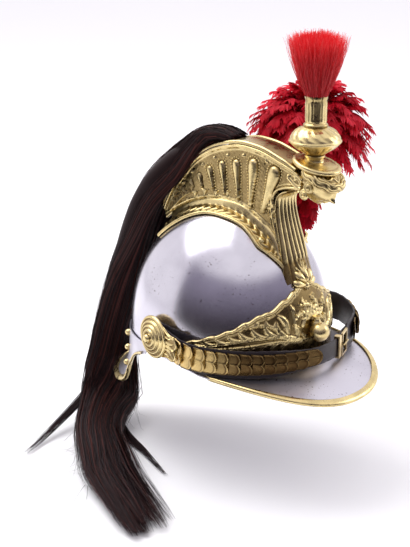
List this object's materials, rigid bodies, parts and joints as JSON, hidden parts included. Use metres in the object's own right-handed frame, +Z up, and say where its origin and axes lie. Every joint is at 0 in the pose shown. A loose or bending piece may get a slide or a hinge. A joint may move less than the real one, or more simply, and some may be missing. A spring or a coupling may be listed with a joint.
{
  "type": "cuirassier helmet",
  "caption": "Steel cavalry helmet with brass crest, front plate, scaled chin strap, long black horsehair mane, red hair tuft and red side plume.",
  "frame": {"origin": "middle of the head opening, level with the band where the skull rests on a head", "axes": "+Z up along the wearer's head, -Y forward out of the visor, +X towards the wearer's left"},
  "size_m": [0.3706, 0.3799, 0.4871],
  "materials": {
    "steel": "softly brushed polish with small rust pits",
    "brass": "satin, brown in the recesses",
    "dark_brass": "worn and browned, bright on the edges",
    "leather": "smooth, near black",
    "black_horsehair": "glossy straight hair",
    "red_horsehair": "straight brush hair",
    "red_feather": "soft drooping vanes"
  },
  "bodies": {
    "root": {"buckle_frame": "brass", "buckle_prong": "brass", "crest_column": "brass", "crest_left": "brass", "crest_right": "brass", "crest_screw_left": "brass", "crest_screw_right": "brass", "crest_top": "brass", "finial_tube": "brass", "finial_vase": "brass", "front_plate": "brass", "hair_tuft": "red_horsehair", "mane": "black_horsehair", "mask": "brass", "neck_guard": "steel", "neck_guard_rim": "brass", "plume": "red_feather", "plume_holder": "brass", "rivet_left_1": "brass", "rivet_left_2": "brass", "rivet_left_3": "brass", "rivet_right_1": "brass", "rivet_right_2": "brass", "rivet_right_3": "brass", "rosette_left": "brass", "rosette_right": "brass", "scale_left_01": "dark_brass", "scale_left_02": "dark_brass", "scale_left_03": "dark_brass", "scale_left_04": "dark_brass", "scale_left_05": "dark_brass", "scale_left_06": "dark_brass", "scale_left_07": "dark_brass", "scale_left_08": "dark_brass", "scale_left_09": "dark_brass", "scale_right_01": "dark_brass", "scale_right_02": "dark_brass", "scale_right_03": "dark_brass", "scale_right_04": "dark_brass", "scale_right_05": "dark_brass", "scale_right_06": "dark_brass", "scale_right_07": "dark_brass", "scale_right_08": "dark_brass", "scale_right_09": "dark_brass", "scale_right_10": "dark_brass", "scale_right_11": "dark_brass", "scale_right_12": "dark_brass", "skull": "steel", "strap_end_right": "dark_brass", "strap_keeper": "brass", "strap_left": "leather", "strap_right": "leather", "visor": "steel", "visor_rim": "brass"}
  },
  "joints": []
}
